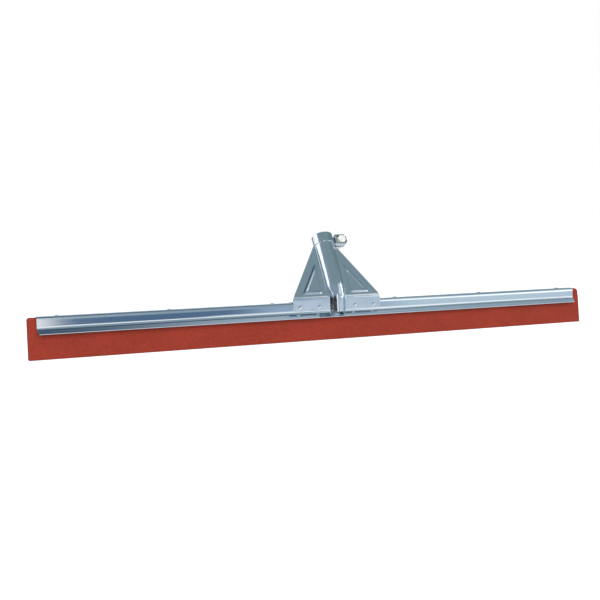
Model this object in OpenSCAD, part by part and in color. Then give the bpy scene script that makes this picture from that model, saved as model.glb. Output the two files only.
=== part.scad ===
// Floor squeegee head: a folded rubber blade riveted in a steel channel, with a two-shell
// bracket whose leaning socket takes a round handle and is closed by a bolted band.
// Frame: X along the blade, +Y to the back (the way the socket leans), Z up.
// Origin: middle of the blade's foot, on the floor.

/* [Blade] */
// Length of the folded rubber blade
blade_length = 750; // [400:10:1000]
// Height of the channel's top face above the floor
head_height = 48.5; // [44:0.5:60]
// Thickness of each hanging lip of the folded strip
lip_thickness = 5.2; // [4:0.1:5.8]
// Thickness of the fold where the channel and the core squeeze it
fold_thickness = 3.5; // [2.5:0.1:4.5]
// How far each lip stands further out at the floor than at the channel
lip_splay = 1.6; // [0:0.1:3]
// Radius of the blade's two top end corners
blade_corner_r = 3; // [1:0.5:10]
// Radius that the fold has outside, seen from the end
fold_r = 4.8; // [3:0.1:5.5]
// How far each side of the blade draws in from the channel's lips up to the fold
fold_draw = 1.8; // [0:0.1:2]

/* [Channel] */
// Length of rubber left free past each end of the channel
blade_overhang = 10; // [2:1:30]
// Outer width of the channel between its two walls
channel_width = 15.7; // [14:0.1:20]
// Height of the channel from its top face to its lip edges
channel_depth = 19.8; // [18:0.1:24]
// Thickness of all the sheet steel
sheet = 0.9; // [0.6:0.05:1.2]
// Outer radius of the channel's two top bends
channel_corner_r = 3.2; // [2:0.1:5]
// How far each lip flares out past its wall
flare_out = 6.6; // [3:0.1:8]
// Height of the flared lips
flare_height = 5.4; // [3:0.1:8]
// Radius of the concave bend where the wall turns into the lip
flare_r = 5; // [1:0.1:6]
// Radius of the lips' end corners, seen from the front
lip_corner_r = 3; // [1:0.5:5]

/* [Core] */
// Thickness of the flat steel strip inside the fold
core_thickness = 3.2; // [2.6:0.1:5]
// Height of the core strip
core_height = 10; // [8:0.5:14]
// How far each end of the core strip stays inside the channel
core_inset = 10; // [5:1:40]

/* [Bracket] */
// Outside diameter of the round handle that the socket takes
handle_d = 23.5; // [20:0.5:28]
// Room all round the handle in the socket
handle_room = 0.15; // [0.05:0.05:0.5]
// Lean of the socket's axis towards the back, from upright
lean = 29; // [15:1:40]
// Height of the bracket's bend above the channel's top face
bend_rise = 4.7; // [4:0.1:10]
// Radius of that bend
bend_r = 10; // [4:0.5:10]
// Length of the socket from the bend to its mouth
socket_length = 88.3; // [70:0.1:120]
// Width of the bracket's feet on the channel
foot_width = 120; // [90:1:160]
// How far the feet reach down the channel's walls from its top face
foot_drop = 11.5; // [9:0.5:13]
// Radius of the feet's lower corners
foot_corner_r = 2.5; // [1:0.5:5]
// Radius of the shoulder where each wing's sloping edge starts
shoulder_r = 20; // [5:1:25]
// Width of the small ledge that the wings end in, past the socket on each side
ledge = 1.9; // [1:0.1:4]

/* [Knee] */
// Half the width of the narrow bulge below the bend
bulge_half_width = 9.2; // [8:0.1:10]
// How far that bulge stands out from the channel's wall
bulge_depth = 10.6; // [9:0.1:12]
// Radius of the fillet that joins the bulge to the foot
bulge_fillet = 2.3; // [1:0.1:3]
// How far the bulge's open end reaches below the feet
bulge_drop = 2; // [0:0.5:2]
// Length over which the round socket narrows to the bulge, above the bend
knee_length = 12; // [8:1:20]

/* [Ribs] */
// Height of the pressed triangular rib on each wing
rib_height = 0.8; // [0.4:0.1:1.5]
// Width of the rib
rib_width = 4.6; // [3:0.1:6]
// Distance from the socket's surface to the triangle's upright side
rib_off_socket = 6; // [4:0.5:10]
// Distance from the wing's sloping edge to the triangle's long side
rib_off_edge = 9; // [5:0.5:12]
// Height of the triangle's base above the bend
rib_base = 4.6; // [4:0.2:12]
// Radius of the triangle's corners
rib_corner_r = 2.2; // [1:0.1:4]

/* [Clamp] */
// Height of the clamp band
band_height = 13; // [10:0.5:20]
// Running gap between the band and the socket
band_gap = 0.12; // [0.08:0.02:0.3]
// Opening between the band's two ears
ear_opening = 5; // [3:0.5:8]
// Distance of the clamp bolt from the socket's axis
bolt_offset = 24; // [23:0.5:28]
// Height of the front ear's tray
ear_height = 14; // [14:0.2:18]
// How far the ears' top stays below the band's
ear_step = 1; // [0:0.2:3]
// Depth of the front ear's rim, bent to the front, and of the rear ear's stop, bent back
ear_rim = 5.2; // [4:0.1:7]
// Height of the tabs at the ears' outer ends
ear_tab = 8.4; // [5:0.2:11]
// Radius of the front ear's corners
ear_corner_r = 2.4; // [1:0.2:4]
// Thread diameter of the clamp bolt
bolt_d = 6; // [5:1:6]
// Length of the bolt under its head
bolt_length = 20; // [18:1:25]

/* [Rivets] */
// Number of channel rivets on each side of the bracket, evenly spaced
channel_rivets = 3; // [2:1:4]
// Distance of the outermost channel rivets from the channel's ends
channel_rivet_end = 22; // [10:1:40]
// Distance of the innermost channel rivets from the bracket's feet
channel_rivet_inner = 25; // [15:1:40]
// Diameter of the channel rivets' heads
channel_rivet_head_d = 6.8; // [4:0.1:8]
// Diameter of the channel rivets' shanks
channel_rivet_d = 2; // [1.5:0.1:2.2]
// Distance of the inner foot rivets from the middle
foot_rivet_inner = 24.5; // [18:0.5:28]
// Distance of the outer foot rivets from the feet's ends
foot_rivet_end = 9; // [7:0.5:14]
// Diameter of the foot rivets' heads
foot_rivet_head_d = 5.6; // [4:0.1:7]
// Diameter of the foot rivets' shanks
foot_rivet_d = 3.2; // [2.5:0.1:4]
// Height of the rivets' heads
rivet_head_height = 1.1; // [0.6:0.1:2]
// Depth of the foot rivets' centres below the channel's top face
foot_rivet_drop = 7.2; // [6:0.1:8]

/* [Hidden] */
$fn = 64;
// Gap left between pieces that sit snugly in one another
snug = 0.05;
// Overlap that makes cuts run past a face
past = 1;
// Steps of each rounded corner
corner_steps = 6;

channel_length = blade_length - 2 * blade_overhang;
half_channel = channel_width / 2;
channel_top_inside = head_height - sheet;
lip_edge_z = head_height - channel_depth;
flare_z = lip_edge_z + flare_height;

blade_half = half_channel - sheet - snug;
blade_top = channel_top_inside - snug;
blade_cavity_top = blade_top - fold_thickness;
blade_gap_half = blade_half - lip_thickness;

core_half = min(core_thickness / 2, blade_gap_half - snug);
core_top = blade_cavity_top - snug;

bore_r = handle_d / 2 + handle_room;
socket_r = bore_r + sheet;
bend_z = head_height + bend_rise;
foot_z = head_height - foot_drop;
foot_rivet_z = head_height - foot_rivet_drop;

band_r = socket_r + band_gap;
band_outer_r = band_r + sheet;
band_top = socket_length + 0.2;
band_bottom = band_top - band_height;
wing_top = band_bottom - 0.3;
wing_top_half = socket_r + ledge;
ear_top = band_top - ear_step;
ear_bottom = ear_top - ear_height;
bolt_s = (ear_bottom + ear_top) / 2;
ear_face = ear_opening / 2 + sheet;

// ISO sizes of the hexagon head, nut and small washer for the bolt's thread
hex_flats = bolt_d == 6 ? 10 : 8;
hex_r = hex_flats / 2 / cos(30);
head_height_m = bolt_d == 6 ? 4 : 3.5;
nut_height = bolt_d == 6 ? 5 : 4.2;
washer_r = bolt_d == 6 ? 5.5 : 4.5;
washer_t = bolt_d == 6 ? 1.6 : 1;
thread_room = 0.05;
ear_hole_room = 0.3;
// The ears' rims stand this far from the washers and from the band
rim_room = 0.4;
ear_start = band_outer_r + rim_room;
ear_end = bolt_offset + washer_r + rim_room;
rear_ear_bottom = bolt_s - washer_r - rim_room;
tab_bottom = bolt_s - ear_tab / 2;
tab_top = bolt_s + ear_tab / 2;

first_rivet = foot_width / 2 + channel_rivet_inner;
last_rivet = channel_length / 2 - channel_rivet_end;
channel_rivet_x = [for (k = [0:channel_rivets - 1])
    first_rivet + (last_rivet - first_rivet) * k / (channel_rivets - 1)];
CHANNEL_RIVETS = [for (side = [-1, 1]) for (x = channel_rivet_x) side * x];
foot_rivet_x = [foot_rivet_inner, foot_width / 2 - foot_rivet_end];
FOOT_RIVETS = [for (side = [-1, 1]) for (x = foot_rivet_x) side * x];
function channel_rivet_name(i) = str("channel_rivet_", i + 1);
function foot_rivet_name(i) = str("foot_rivet_", i + 1);

// Direction of a vector
function unit(v) = v / norm(v);
// A list from its end to its start
function backwards(list) = [for (i = [len(list) - 1:-1:0]) list[i]];
// The angle that turns direction u to direction v the short way
function turn(u, v) = atan2(u.x * v.y - u.y * v.x, u * v);

// The arc of radius r that rounds corner b of the path a, b, c
function corner_arc(a, b, c, r) =
    let (
        u = unit(b - a),
        v = unit(c - b),
        bend = turn(u, v),
        side = sign(bend),
        cut = r * abs(tan(bend / 2)),
        start = b - u * cut,
        centre = start + side * r * [-u.y, u.x],
        spoke = start - centre
    )
    [for (i = [0:corner_steps])
        let (q = bend * i / corner_steps)
        centre + [spoke.x * cos(q) - spoke.y * sin(q), spoke.x * sin(q) + spoke.y * cos(q)]];

// An open path with its inner corners rounded, one radius for each of them
function rounded_path(p, radii) = concat(
    [p[0]],
    [for (i = [1:len(p) - 2]) each corner_arc(p[i - 1], p[i], p[i + 1], radii[i - 1])],
    [p[len(p) - 1]]);

// A closed outline with all its corners rounded
function rounded_outline(p, radii) =
    let (n = len(p))
    [for (i = [0:n - 1]) each corner_arc(p[(i + n - 1) % n], p[i], p[(i + 1) % n], radii[i])];

// An open path moved to its left by d, with mitred corners
function moved_path(p, d) =
    let (n = len(p))
    [for (i = [0:n - 1])
        let (
            u = unit(p[min(i + 1, n - 1)] - p[min(i, n - 2)]),
            v = unit(p[max(i, 1)] - p[max(i - 1, 0)]),
            m = unit([-u.y - v.y, u.x + v.x])
        )
        p[i] + m * d / (m * [-u.y, u.x])];

// The outline of a bent sheet between two moves of one path
function sheet_outline(p, near, far) = concat(moved_path(p, near), backwards(moved_path(p, far)));

// The solid between rings of points that follow one another, all with as many points
module skin(rings) {
    n = len(rings[0]);
    last = len(rings) - 1;
    sides = [for (k = [0:last - 1]) for (i = [0:n - 1])
        let (j = (i + 1) % n, a = k * n, b = a + n)
        each [[a + i, b + i, a + j], [a + j, b + i, b + j]]];
    caps = [[for (i = [0:n - 1]) i], [for (i = [n - 1:-1:0]) last * n + i]];
    polyhedron([for (ring = rings) each ring], concat(sides, caps), convexity = 4);
}

// A profile in Y and Z carried along the blade, centred on the middle
module along_blade(length) {
    rotate([90, 0, 90]) linear_extrude(length, center = true) children();
}

// An outline in X and Z carried from front to back, through everything
module front_to_back() {
    rotate([90, 0, 0]) linear_extrude(2 * (socket_length + channel_width), center = true) children();
}

// The socket's own frame: Z up its axis from the bend, -Y to the front
module in_socket() {
    translate([0, -half_channel, bend_z]) rotate([-lean, 0, 0]) children();
}

// A bore across the blade, from front to back
module cross_hole(x, z, r) {
    translate([x, 0, z]) rotate([90, 0, 0]) cylinder(r = r, h = 3 * channel_width, center = true);
}

// A low domed rivet head standing on the plane z = 0
module rivet_head(d, h) {
    ball_r = (d * d / 4 + h * h) / (2 * h);
    intersection() {
        translate([0, 0, h - ball_r]) sphere(r = ball_r);
        cylinder(r = d, h = h);
    }
}

// The blade: one rubber strip folded over the core, its two lips hanging to the floor
module rubber_blade() {
    mouth_z = flare_z;
    outside = rounded_path(
        [[-blade_half - lip_splay, 0], [-blade_half, mouth_z], [fold_draw - blade_half, blade_top],
         [blade_half - fold_draw, blade_top], [blade_half, mouth_z], [blade_half + lip_splay, 0]],
        [flare_r, fold_r, fold_r, flare_r]);
    inside = [
        [-blade_gap_half - lip_splay, 0], [-blade_gap_half, mouth_z],
        [-blade_gap_half, blade_cavity_top], [blade_gap_half, blade_cavity_top],
        [blade_gap_half, mouth_z], [blade_gap_half + lip_splay, 0]];
    half = blade_length / 2;
    ends = concat(
        [[-half, 0]],
        corner_arc([-half, 0], [-half, blade_top], [half, blade_top], blade_corner_r),
        corner_arc([-half, blade_top], [half, blade_top], [half, 0], blade_corner_r),
        [[half, 0]]);
    color("firebrick") difference() {
        intersection() {
            along_blade(blade_length) polygon(concat(outside, backwards(inside)));
            front_to_back() polygon(ends);
        }
        for (x = CHANNEL_RIVETS) translate([x, 0, blade_cavity_top - past])
            cylinder(d = channel_rivet_d + 2 * snug, h = fold_thickness + 2 * past);
        for (x = FOOT_RIVETS) cross_hole(x, foot_rivet_z, foot_rivet_d / 2 + snug);
    }
}

// The core: a flat steel strip on edge in the fold, which the rivets hold up
module core_strip() {
    color("slategray") difference() {
        translate([0, 0, core_top - core_height / 2])
            cube([channel_length - 2 * core_inset, 2 * core_half, core_height], center = true);
        for (x = CHANNEL_RIVETS) translate([x, 0, core_top - core_height - past])
            cylinder(d = channel_rivet_d + 2 * snug, h = core_height + 2 * past);
        for (x = FOOT_RIVETS) cross_hole(x, foot_rivet_z, foot_rivet_d / 2 + snug);
    }
}

// The channel: bent sheet with a flat top, two walls and two flared lips
module channel() {
    wall = half_channel - sheet / 2;
    top = head_height - sheet / 2;
    lip = half_channel + flare_out - sheet / 2;
    half = channel_length / 2;
    profile = rounded_path(
        [[-lip, lip_edge_z], [-wall, flare_z], [-wall, top], [wall, top], [wall, flare_z], [lip, lip_edge_z]],
        [flare_r, channel_corner_r - sheet / 2, channel_corner_r - sheet / 2, flare_r]);
    ends = concat(
        [[half, head_height + past]],
        corner_arc([half, head_height], [half, lip_edge_z], [-half, lip_edge_z], lip_corner_r),
        corner_arc([half, lip_edge_z], [-half, lip_edge_z], [-half, head_height], lip_corner_r),
        [[-half, head_height + past]]);
    color("lightsteelblue") difference() {
        intersection() {
            along_blade(channel_length) polygon(sheet_outline(profile, -sheet / 2, sheet / 2));
            front_to_back() polygon(ends);
        }
        for (x = CHANNEL_RIVETS) translate([x, 0, channel_top_inside - past])
            cylinder(d = channel_rivet_d + 2 * snug, h = sheet + 2 * past);
        for (x = FOOT_RIVETS) cross_hole(x, foot_rivet_z, foot_rivet_d / 2 + snug);
    }
}

// The bracket's outline seen from the front: feet, shoulders and sloping wings up to the ledge
module bracket_outline() {
    half = foot_width / 2;
    top = bend_z + wing_top * cos(lean);
    polygon(rounded_outline(
        [[-half, foot_z], [half, foot_z], [half, bend_z], [wing_top_half, top], [-wing_top_half, top], [-half, bend_z]],
        [foot_corner_r, foot_corner_r, shoulder_r, 0.3, 0.3, shoulder_r]));
}

// Where the front shell touches the channel's wall, the bend and the rear shell, in Y and Z
wing_way = [sin(lean), cos(lean)];
bend_point = [-half_channel, bend_z];
contact_path = rounded_path(
    [[-half_channel, foot_z - bulge_drop], bend_point, bend_point + wing_way * wing_top], [bend_r]);

// The bend's arc starts this far below its corner, and is this long
bend_start = bend_z - bend_r * tan(lean / 2);
bend_arc = bend_r * lean * PI / 180;
// The socket is round from this height above the bend
round_from = knee_length + bend_r * tan(lean / 2);

// The contact path by length from the start of the bend: the lean there, and the point
function lean_at(l) = max(0, min(lean, l / bend_r * 180 / PI));
function contact_at(l) =
    let (
        q = lean_at(l),
        beyond = l < 0 ? l : max(0, l - bend_arc)
    )
    [-half_channel + bend_r * (1 - cos(q)), bend_start + bend_r * sin(q)] + beyond * [sin(q), cos(q)];

// Profiles of the bulge, from left to right: narrow with fillets that start inside the foot's
// sheet, and round as the socket from the middle of its seam
fillet_sink = 0.2;
narrow_foot = sheet - fillet_sink;
bulge_round = min(bulge_half_width, bulge_depth - narrow_foot - bulge_fillet) - 0.1;
narrow_path = rounded_path(
    [[-socket_r, narrow_foot], [-bulge_half_width, narrow_foot], [-bulge_half_width, bulge_depth],
     [bulge_half_width, bulge_depth], [bulge_half_width, narrow_foot], [socket_r, narrow_foot]],
    [bulge_fillet, bulge_round, bulge_round, bulge_fillet]);
profile_points = len(narrow_path) - 2;
narrow_profile = [for (i = [1:profile_points]) narrow_path[i]];
// The bulge ends this much inside the round socket, a small step on both faces
round_step = 0.1;
seam_angle = asin(sheet / 2 / socket_r);
round_profile = [for (i = [0:profile_points - 1])
    let (q = seam_angle + (180 - 2 * seam_angle) * i / (profile_points - 1))
    (socket_r - round_step) * [-cos(q), sin(q)]];

// The bulge's profile at a share of the way from narrow to round, set in by a wall
function bulge_profile(share, wall) =
    let (
        ease = share * share * (3 - 2 * share),
        blended = (1 - ease) * narrow_profile + ease * round_profile
    )
    moved_path(blended, -wall);

// One ring of the bulge: the profile stands square to the contact path at length l. The solid
// starts inside the foot's sheet and the cutter starts behind it.
function bulge_ring(l, share, wall) =
    let (
        q = lean_at(l),
        foot = contact_at(l),
        out = [-cos(q), sin(q)],
        shape = bulge_profile(share, wall),
        base = sheet / 4 - 2 * wall
    )
    [for (p = concat([[shape[0].x, base]], shape, [[-shape[0].x, base]]))
        let (at = foot + p.y * out)
        [p.x, at.x, at.y]];

// The bulge below and through the bend, solid, set in by a wall; a cutter runs past the lower end.
// Its rings stand where the bent sheet has its own edges, and then at steps up to the round part.
module knee_solid(wall, below) {
    steps = 4;
    finish = bend_arc + knee_length;
    places = concat(
        [for (k = [0:corner_steps]) bend_arc * k / corner_steps],
        [for (k = [1:steps]) bend_arc + knee_length * k / steps]);
    rings = concat(
        [bulge_ring(foot_z - bulge_drop - below - bend_start, 0, wall)],
        [for (l = places) bulge_ring(l, l / finish, wall)]);
    skin(rings);
}

// Half of the round socket between two heights, front (side -1) or rear (side 1)
module half_round(r, low, high, side) {
    in_socket() intersection() {
        translate([0, 0, low]) cylinder(r = r, h = high - low);
        translate([0, side * r, (low + high) / 2]) cube([4 * r, 2 * r, 2 * high], center = true);
    }
}

// Narrow slots at the seam above the wings, so that the band can close the socket's mouth
seam_slot = 0.5;
module seam_slots() {
    in_socket() translate([0, 0, wing_top + band_height])
        cube([4 * socket_r, seam_slot, 2 * band_height], center = true);
}

// One wing's triangular rib, as a ring standing on the wing plane
module wing_rib() {
    slope = (foot_width / 2 - wing_top_half) / wing_top;
    slope_length = sqrt(1 + slope * slope);
    // Inset from the socket, the base and the sloping edge, to the rib's outside or inside
    function corners(inset) =
        let (
            x0 = socket_r + rib_off_socket + inset,
            z0 = rib_base + inset,
            edge = foot_width / 2 - (rib_off_edge + inset) * slope_length
        )
        [[x0, z0], [edge - slope * z0, z0], [x0, (edge - x0) / slope]];
    translate([0, 0, sheet / 2]) linear_extrude(rib_height + sheet / 2) difference() {
        polygon(rounded_outline(corners(0), [rib_corner_r, rib_corner_r, rib_corner_r]));
        polygon(rounded_outline(corners(rib_width), [0.6, 0.6, 0.6]));
    }
}

// The front shell: foot, wings with pressed ribs, half of the socket, knee and open bulge
module socket_front() {
    color("silver") difference() {
        union() {
            intersection() {
                along_blade(foot_width) polygon(sheet_outline(contact_path, 0, sheet));
                front_to_back() bracket_outline();
            }
            knee_solid(0, 0);
            half_round(socket_r, round_from - past / 2, socket_length, -1);
            for (side = [0, 1]) mirror([side, 0, 0]) in_socket() rotate([90, 0, 0]) wing_rib();
        }
        knee_solid(sheet, past);
        in_socket() translate([0, 0, round_from - past / 2]) cylinder(r = bore_r, h = socket_length);
        seam_slots();
        for (x = FOOT_RIVETS) cross_hole(x, foot_rivet_z, foot_rivet_d / 2 + snug);
    }
}

// How much narrower the rear half's hollow is at its lower end than the bore
low_narrowing = 0.4;

// The rear shell: wings, the other half of the socket, a shelf on the channel and a rear foot
module socket_back() {
    front = -half_channel + sheet / 2;
    rear = half_channel + sheet / 2;
    shelf = head_height + sheet / 2;
    behind = sheet / 2 * [cos(lean), -sin(lean)];
    meet_z = bend_z - sheet / 2 * tan(lean / 2);
    path = rounded_path(
        [bend_point + wing_way * wing_top + behind, [front, meet_z], [front, shelf], [rear, shelf], [rear, foot_z]],
        [bend_r - sheet / 2 + snug, 1.2, channel_corner_r + sheet / 2 - snug]);
    shelf_top = head_height + sheet;
    room = 2 * socket_length;
    // The socket is a true bore from here up, and narrows a little below, as a cone
    bore_low = round_from - past / 2;
    // What the bend's chord cuts off its corner, in front of the half round
    chord_foot = contact_path[1];
    chord_head = contact_path[len(contact_path) - 2];
    chord_way = past * (chord_head - chord_foot) / norm(chord_head - chord_foot);
    bend_corner = [chord_foot - chord_way, chord_head + chord_way, bend_point - [2 * past, 0]];
    color("silver") difference() {
        union() {
            intersection() {
                along_blade(foot_width) polygon(sheet_outline(path, -sheet / 2, sheet / 2));
                front_to_back() bracket_outline();
            }
            intersection() {
                half_round(socket_r, -socket_r, socket_length, 1);
                translate([-room / 2, 2 * snug - half_channel, shelf_top]) cube(room);
            }
        }
        in_socket() translate([0, 0, bore_low]) cylinder(r = bore_r, h = socket_length);
        intersection() {
            in_socket() translate([0, 0, -socket_r])
                cylinder(r1 = bore_r - low_narrowing, r2 = bore_r - snug, h = socket_r + bore_low + past);
            translate([-room / 2, -room / 2, shelf_top]) cube(room);
            union() {
                in_socket() translate([-room / 2, -room / 2, 0]) cube(room);
                translate([-room / 2, sheet - half_channel, 0]) cube(room);
            }
        }
        along_blade(2 * (socket_r + sheet)) polygon(bend_corner);
        seam_slots();
        for (x = FOOT_RIVETS) cross_hole(x, foot_rivet_z, foot_rivet_d / 2 + snug);
    }
}

// A plate between two places on the X axis and two heights, its back on the plane y = 0 and its
// thickness to the front, with its corners rounded
module plate(x0, x1, z0, z1, thickness, r) {
    rotate([90, 0, 0]) linear_extrude(thickness)
        polygon(rounded_outline([[x0, z0], [x1, z0], [x1, z1], [x0, z1]], [r, r, r, r]));
}

// The front ear: a tray whose rim is bent to the front, open outwards but for a narrow end tab
module front_ear() {
    inside = ear_corner_r - sheet;
    long = ear_end - ear_start;
    difference() {
        plate(ear_start, ear_end, ear_bottom, ear_top, ear_rim, ear_corner_r);
        translate([0, -sheet, 0])
            plate(ear_start + sheet, ear_end + long, ear_bottom + sheet, ear_top - sheet, ear_rim, inside);
    }
    plate(socket_r + sheet / 2, ear_start + ear_corner_r, band_bottom, ear_top - ear_corner_r, sheet, snug);
    plate(ear_end - ear_corner_r, ear_end + sheet, tab_bottom, tab_top, sheet, snug);
    plate(ear_end, ear_end + sheet, tab_bottom, tab_top, ear_rim, snug);
}

// The rear ear: a plain plate with a tab bent back beside the nut
module rear_ear() {
    translate([0, sheet, 0]) plate(ear_start, ear_end, rear_ear_bottom, ear_top, sheet, ear_corner_r);
    translate([0, sheet, 0])
        plate(socket_r + sheet / 2, ear_start + ear_corner_r, band_bottom, ear_top - ear_corner_r, sheet, snug);
    translate([0, sheet, 0]) plate(ear_end - ear_corner_r, ear_end + sheet, tab_bottom, tab_top, sheet, snug);
    translate([0, ear_rim, 0]) plate(ear_end, ear_end + sheet, tab_bottom, tab_top, ear_rim, snug);
}

// Bolt, washers and nut share this axis: origin on the seam plane, Z to the front
module on_bolt_axis() {
    in_socket() translate([bolt_offset, 0, bolt_s]) rotate([90, 0, 0]) children();
}

// The clamp band: a split ring round the socket's mouth with two ears
module clamp_band() {
    color("gainsboro") difference() {
        in_socket() difference() {
            union() {
                translate([0, 0, band_bottom]) cylinder(r = band_outer_r, h = band_height);
                translate([0, -ear_opening / 2, 0]) front_ear();
                translate([0, ear_opening / 2, 0]) rear_ear();
            }
            translate([0, 0, band_bottom - past]) cylinder(r = band_r, h = band_height + 2 * past);
            translate([0, -ear_opening / 2, band_bottom - past])
                cube([band_outer_r + past, ear_opening, band_height + 2 * past]);
        }
        on_bolt_axis() cylinder(d = bolt_d + 2 * ear_hole_room, h = 4 * ear_face, center = true);
    }
}

// A hexagonal prism with its corners chamfered at the top end
module hexagon(h) {
    intersection() {
        cylinder(r = hex_r, h = h, $fn = 6);
        cylinder(r1 = hex_r + h, r2 = hex_flats / 2 * 0.95, h = h);
    }
}

// The clamp bolt: hexagon head in front, shank through both ears and the nut
module clamp_bolt() {
    color("darkgray") on_bolt_axis() translate([0, 0, ear_face + washer_t]) {
        hexagon(head_height_m);
        translate([0, 0, -bolt_length]) cylinder(d = bolt_d, h = bolt_length + head_height_m / 2);
    }
}

// A flat washer against an ear, front (side 1) or rear (side -1)
module washer(side) {
    low = side > 0 ? ear_face : -ear_face - washer_t;
    color("lightgray") on_bolt_axis() translate([0, 0, low]) difference() {
        cylinder(r = washer_r, h = washer_t);
        translate([0, 0, -past]) cylinder(d = bolt_d + 2 * ear_hole_room, h = washer_t + 2 * past);
    }
}
module clamp_washer_front() { washer(1); }
module clamp_washer_rear() { washer(-1); }

// The nut behind the rear ear, one flat towards the stop
module clamp_nut() {
    color("gray") on_bolt_axis() translate([0, 0, -ear_face - washer_t]) mirror([0, 0, 1]) difference() {
        rotate(30) hexagon(nut_height);
        translate([0, 0, -past]) cylinder(r = bolt_d / 2 + thread_room, h = nut_height + 2 * past);
    }
}

// A rivet down through the channel's top and the fold, its shank held in the core
module channel_rivet(i) {
    color("whitesmoke") translate([CHANNEL_RIVETS[i], 0, 0]) {
        translate([0, 0, head_height]) rivet_head(channel_rivet_head_d, rivet_head_height);
        translate([0, 0, core_top - core_height])
            cylinder(d = channel_rivet_d, h = head_height + rivet_head_height / 2 - core_top + core_height);
    }
}

// A rivet through both feet, both channel walls, the blade and the core
module foot_rivet(i) {
    reach = half_channel + sheet;
    color("whitesmoke") translate([FOOT_RIVETS[i], 0, foot_rivet_z]) {
        rotate([90, 0, 0]) cylinder(d = foot_rivet_d, h = 2 * reach + rivet_head_height, center = true);
        for (side = [90, -90])
            rotate([side, 0, 0]) translate([0, 0, reach]) rivet_head(foot_rivet_head_d, rivet_head_height);
    }
}

rubber_blade();
core_strip();
channel();
socket_front();
socket_back();
clamp_band();
clamp_bolt();
clamp_washer_front();
clamp_washer_rear();
clamp_nut();
for (i = [0:len(CHANNEL_RIVETS) - 1])
    channel_rivet(i);
for (i = [0:len(FOOT_RIVETS) - 1])
    foot_rivet(i);
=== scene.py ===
"""Looks of the floor squeegee head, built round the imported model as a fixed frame.

The part's frame: X along the blade, +Y to the back (the way the socket leans), Z up,
origin in the middle of the blade's foot on the floor. Sizes in the classes are in
millimetres, as in the part's source, and meshes are made in metres.
"""

import logging
import math
from dataclasses import dataclass, field
from enum import Enum
from typing import Sequence

import bmesh
import bpy
import numpy as np
from mathutils import Matrix, Vector


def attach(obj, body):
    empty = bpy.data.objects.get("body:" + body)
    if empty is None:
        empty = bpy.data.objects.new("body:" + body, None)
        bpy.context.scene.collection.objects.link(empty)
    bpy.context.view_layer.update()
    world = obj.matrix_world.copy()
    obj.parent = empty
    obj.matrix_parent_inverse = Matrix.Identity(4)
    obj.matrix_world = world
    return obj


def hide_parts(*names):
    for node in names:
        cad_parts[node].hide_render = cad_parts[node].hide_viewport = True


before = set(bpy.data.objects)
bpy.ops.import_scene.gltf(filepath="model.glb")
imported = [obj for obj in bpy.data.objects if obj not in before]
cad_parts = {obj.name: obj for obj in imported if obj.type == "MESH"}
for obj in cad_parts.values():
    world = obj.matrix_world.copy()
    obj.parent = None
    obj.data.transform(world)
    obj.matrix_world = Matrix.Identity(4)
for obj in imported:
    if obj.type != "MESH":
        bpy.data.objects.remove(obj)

MM = 0.001
BEVEL_SEGMENTS = 2
BEVEL_FROM_ANGLE = math.radians(38)
SHARP_FROM_ANGLE = math.radians(35)
SAME_POINT = 1e-6
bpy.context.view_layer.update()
Array = np.ndarray
Triple = tuple[float, float, float]
Colour = Triple
Points = Sequence[Sequence[float]]
NodeTree = bpy.types.NodeTree
Socket, Material, Object = bpy.types.NodeSocket, bpy.types.Material, bpy.types.Object
log = logging.getLogger("squeegee_head")


# Profiles and surfaces


def smooth(low: float, high: float, value: Array) -> Array:
    """Smooth step t * t * (3 - 2 * t), from 0 where a value is at low to 1 where it is at high."""
    t = np.clip((value - low) / (high - low), 0.0, 1.0)
    return t * t * (3.0 - 2.0 * t)


def corner_arc(a: Array, b: Array, c: Array, radius: float, steps: int) -> Array:
    """The arc that rounds corner b of the path a, b, c.

    The arc starts radius * tan(bend / 2) before b, and its centre lies radius to the
    side that the path bends to.

    Args:
        a: point before the corner.
        b: the corner.
        c: point after it.
        radius: radius of the arc.
        steps: number of segments.

    Returns:
        The arc's points, one row each.
    """
    u = (b - a) / np.linalg.norm(b - a)
    v = (c - b) / np.linalg.norm(c - b)
    bend = math.atan2(u[0] * v[1] - u[1] * v[0], float(u @ v))
    side = 1.0 if bend > 0 else -1.0
    start = b - u * radius * abs(math.tan(bend / 2))
    centre = start + side * radius * np.array([-u[1], u[0]])
    spoke = start - centre
    q = bend * np.linspace(0.0, 1.0, steps + 1)
    x = spoke[0] * np.cos(q) - spoke[1] * np.sin(q)
    y = spoke[0] * np.sin(q) + spoke[1] * np.cos(q)
    return centre + np.stack([x, y], axis=1)


def rounded_path(points: Points, radii: Sequence[float], steps: int) -> Array:
    """An open path with its inner corners rounded, one radius for each.

    Args:
        points: corners of the path.
        radii: radius at each inner corner.
        steps: segments of each arc.

    Returns:
        The path's points, one row each.
    """
    p = [np.array(q, float) for q in points]
    arcs = [corner_arc(p[i - 1], p[i], p[i + 1], radii[i - 1], steps) for i in range(1, len(p) - 1)]
    return np.vstack([p[0][None], *arcs, p[-1][None]])


def moved(path: Array, distance: float) -> Array:
    """A path, or a stack of paths, moved to its left by a distance along its normals.

    The normal is the central difference of the path turned by 90 degrees.

    Args:
        path: points along the second last axis, two coordinates on the last.
        distance: how far.

    Returns:
        The moved points in the same layout.
    """
    step = np.gradient(path, axis=-2)
    step /= np.linalg.norm(step, axis=-1, keepdims=True)
    normal = np.stack([-step[..., 1], step[..., 0]], axis=-1)
    return path + normal * distance


def arch(side: Points, radii: Sequence[float], steps: int) -> Array:
    """The rounded path up the mirror image of a side (y, z) and down it; radii start past its foot."""
    path = [[-y, z] for y, z in side] + list(side[::-1])
    return rounded_path(path, [*radii, *radii[::-1]], steps)


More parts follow.
